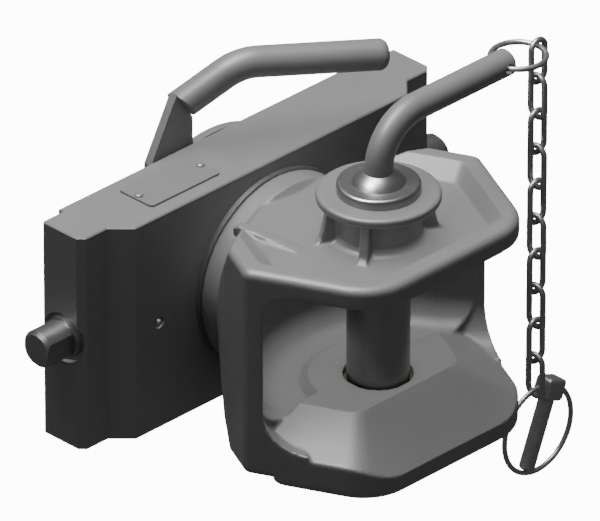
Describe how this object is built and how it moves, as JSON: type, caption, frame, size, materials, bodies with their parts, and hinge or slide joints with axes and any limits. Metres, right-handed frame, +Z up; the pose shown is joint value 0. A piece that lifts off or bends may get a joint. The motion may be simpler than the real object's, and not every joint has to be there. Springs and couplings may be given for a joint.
{
  "type": "clevis hitch",
  "caption": "Height-adjustable swivel clevis hitch: a sliding carrier with spring lock pins and a cast jaw with a drop pin on a handle.",
  "frame": {"origin": "on the drop pin's axis, level with the eye seat of the lower jaw", "axes": "+Z up along the drop pin, -Y out of the open mouth, +Y to the towing vehicle, +X along the carrier"},
  "size_m": [0.356, 0.2563, 0.3197],
  "materials": {
    "carrier_paint": "satin",
    "plate_metal": "brushed, blank",
    "nipple_steel": "bright zinc plate",
    "pin_steel": "ground and oiled",
    "spring_steel": "dark spring steel",
    "bush_bronze": "machined bronze",
    "bare_steel": "turned",
    "lever_paint": "satin",
    "jaw_paint": "painted sand casting",
    "nut_steel": "zinc plate",
    "chain_zinc": "zinc plate",
    "lynch_steel": "zinc plate"
  },
  "bodies": {
    "carrier": {"carrier": "carrier_paint", "name_plate": "plate_metal", "name_plate_rivets": "plate_metal", "grease_nipple_left": "nipple_steel", "grease_nipple_right": "nipple_steel", "front_bush": "bush_bronze", "rear_hub": "bare_steel", "thrust_washer": "bare_steel", "lever_circlip": "spring_steel", "lock_pin_spring_left": "spring_steel", "lock_pin_spring_right": "spring_steel"},
    "jaw": {"jaw_casting": "jaw_paint", "upper_pin_bush": "bush_bronze", "lower_pin_bush": "bush_bronze", "rear_washer": "bare_steel", "swivel_nut": "nut_steel", "cotter_pin": "nut_steel"},
    "lever": {"lever_plate": "lever_paint", "lever_rod": "lever_paint"},
    "left_lock_pin": {"lock_pin_left": "pin_steel", "lock_pin_peg_left": "pin_steel"},
    "right_lock_pin": {"lock_pin_right": "pin_steel", "lock_pin_peg_right": "pin_steel"},
    "drop_pin_washer": {"pin_washer": "bare_steel"},
    "drop_pin": {"hitch_pin": "pin_steel", "pin_handle": "lever_paint"},
    "ring": {"key_ring": "chain_zinc"},
    "link_01": {"chain_link_01": "chain_zinc"},
    "link_02": {"chain_link_02": "chain_zinc"},
    "link_03": {"chain_link_03": "chain_zinc"},
    "link_04": {"chain_link_04": "chain_zinc"},
    "link_05": {"chain_link_05": "chain_zinc"},
    "link_06": {"chain_link_06": "chain_zinc"},
    "link_07": {"chain_link_07": "chain_zinc"},
    "link_08": {"chain_link_08": "chain_zinc"},
    "link_09": {"chain_link_09": "chain_zinc"},
    "link_10": {"chain_link_10": "chain_zinc"},
    "bail": {"lynch_pin_bail": "chain_zinc"},
    "lynch": {"lynch_pin": "lynch_steel"}
  },
  "joints": [
    {"name": "jaw_swivel", "type": "hinge", "parent": "carrier", "child": "jaw", "pos_m": [0, 0.1, 0.03825], "axis": [0, 1, 0], "continuous": true},
    {"name": "release_lever", "type": "hinge", "parent": "carrier", "child": "lever", "pos_m": [0, 0.148, 0.03825], "axis": [0, -1, 0], "range_deg": [0, 28], "deforming": ["lock_pin_spring_left", "lock_pin_spring_right"]},
    {"name": "left_lock_slide", "type": "slide", "parent": "carrier", "child": "left_lock_pin", "axis": [1, 0, 0], "range_m": [0, 0.0245]},
    {"name": "right_lock_slide", "type": "slide", "parent": "carrier", "child": "right_lock_pin", "axis": [-1, 0, 0], "range_m": [0, 0.0245]},
    {"name": "drop_pin_turn", "type": "hinge", "parent": "jaw", "child": "drop_pin_washer", "pos_m": [0, 0, 0.13], "axis": [0, 0, -1], "range_deg": [-25, 200]},
    {"name": "drop_pin_lift", "type": "slide", "parent": "drop_pin_washer", "child": "drop_pin", "axis": [0, 0, 1], "range_m": [0, 0.16]},
    {"name": "ring_swing", "type": "hinge", "parent": "drop_pin", "child": "ring", "pos_m": [0.1073, 0, 0.1777], "axis": [0, -1, 0], "range_deg": [-3, 40]},
    {"name": "link_01_swing", "type": "hinge", "parent": "ring", "child": "link_01", "pos_m": [0.14126, 0, 0.1777], "axis": [0, -1, 0], "range_deg": [-3, 25]},
    {"name": "link_02_swing", "type": "hinge", "parent": "link_01", "child": "link_02", "pos_m": [0.14126, 0, 0.15225], "axis": [1, 0, 0], "range_deg": [-25, 15]},
    {"name": "link_03_swing", "type": "hinge", "parent": "link_02", "child": "link_03", "pos_m": [0.14126, 0, 0.12695], "axis": [0, -1, 0], "range_deg": [-3, 25]},
    {"name": "link_04_swing", "type": "hinge", "parent": "link_03", "child": "link_04", "pos_m": [0.14126, 0, 0.10165], "axis": [1, 0, 0], "range_deg": [-25, 15]},
    {"name": "link_05_swing", "type": "hinge", "parent": "link_04", "child": "link_05", "pos_m": [0.14126, 0, 0.07635], "axis": [0, -1, 0], "range_deg": [-3, 25]},
    {"name": "link_06_swing", "type": "hinge", "parent": "link_05", "child": "link_06", "pos_m": [0.14126, 0, 0.05105], "axis": [1, 0, 0], "range_deg": [-25, 15]},
    {"name": "link_07_swing", "type": "hinge", "parent": "link_06", "child": "link_07", "pos_m": [0.14126, 0, 0.02575], "axis": [0, -1, 0], "range_deg": [-3, 25]},
    {"name": "link_08_swing", "type": "hinge", "parent": "link_07", "child": "link_08", "pos_m": [0.14126, 0, 0.00045], "axis": [1, 0, 0], "range_deg": [-25, 15]},
    {"name": "link_09_swing", "type": "hinge", "parent": "link_08", "child": "link_09", "pos_m": [0.14126, 0, -0.02485], "axis": [0, -1, 0], "range_deg": [-3, 25]},
    {"name": "link_10_swing", "type": "hinge", "parent": "link_09", "child": "link_10", "pos_m": [0.14126, 0, -0.05015], "axis": [1, 0, 0], "range_deg": [-25, 15]},
    {"name": "bail_swing", "type": "hinge", "parent": "link_10", "child": "bail", "pos_m": [0.14126, 0, -0.07545], "axis": [0, -1, 0], "range_deg": [-8, 30]},
    {"name": "lynch_fold", "type": "hinge", "parent": "bail", "child": "lynch", "pos_m": [0.15428, 0, -0.07526], "axis": [0.9272, 0, -0.3746], "range_deg": [-60, 60]}
  ],
  "couplings": [
    {"joint": "left_lock_slide", "follows": "release_lever", "m_per_rad": 0.050134},
    {"joint": "right_lock_slide", "follows": "release_lever", "m_per_rad": 0.050134}
  ]
}
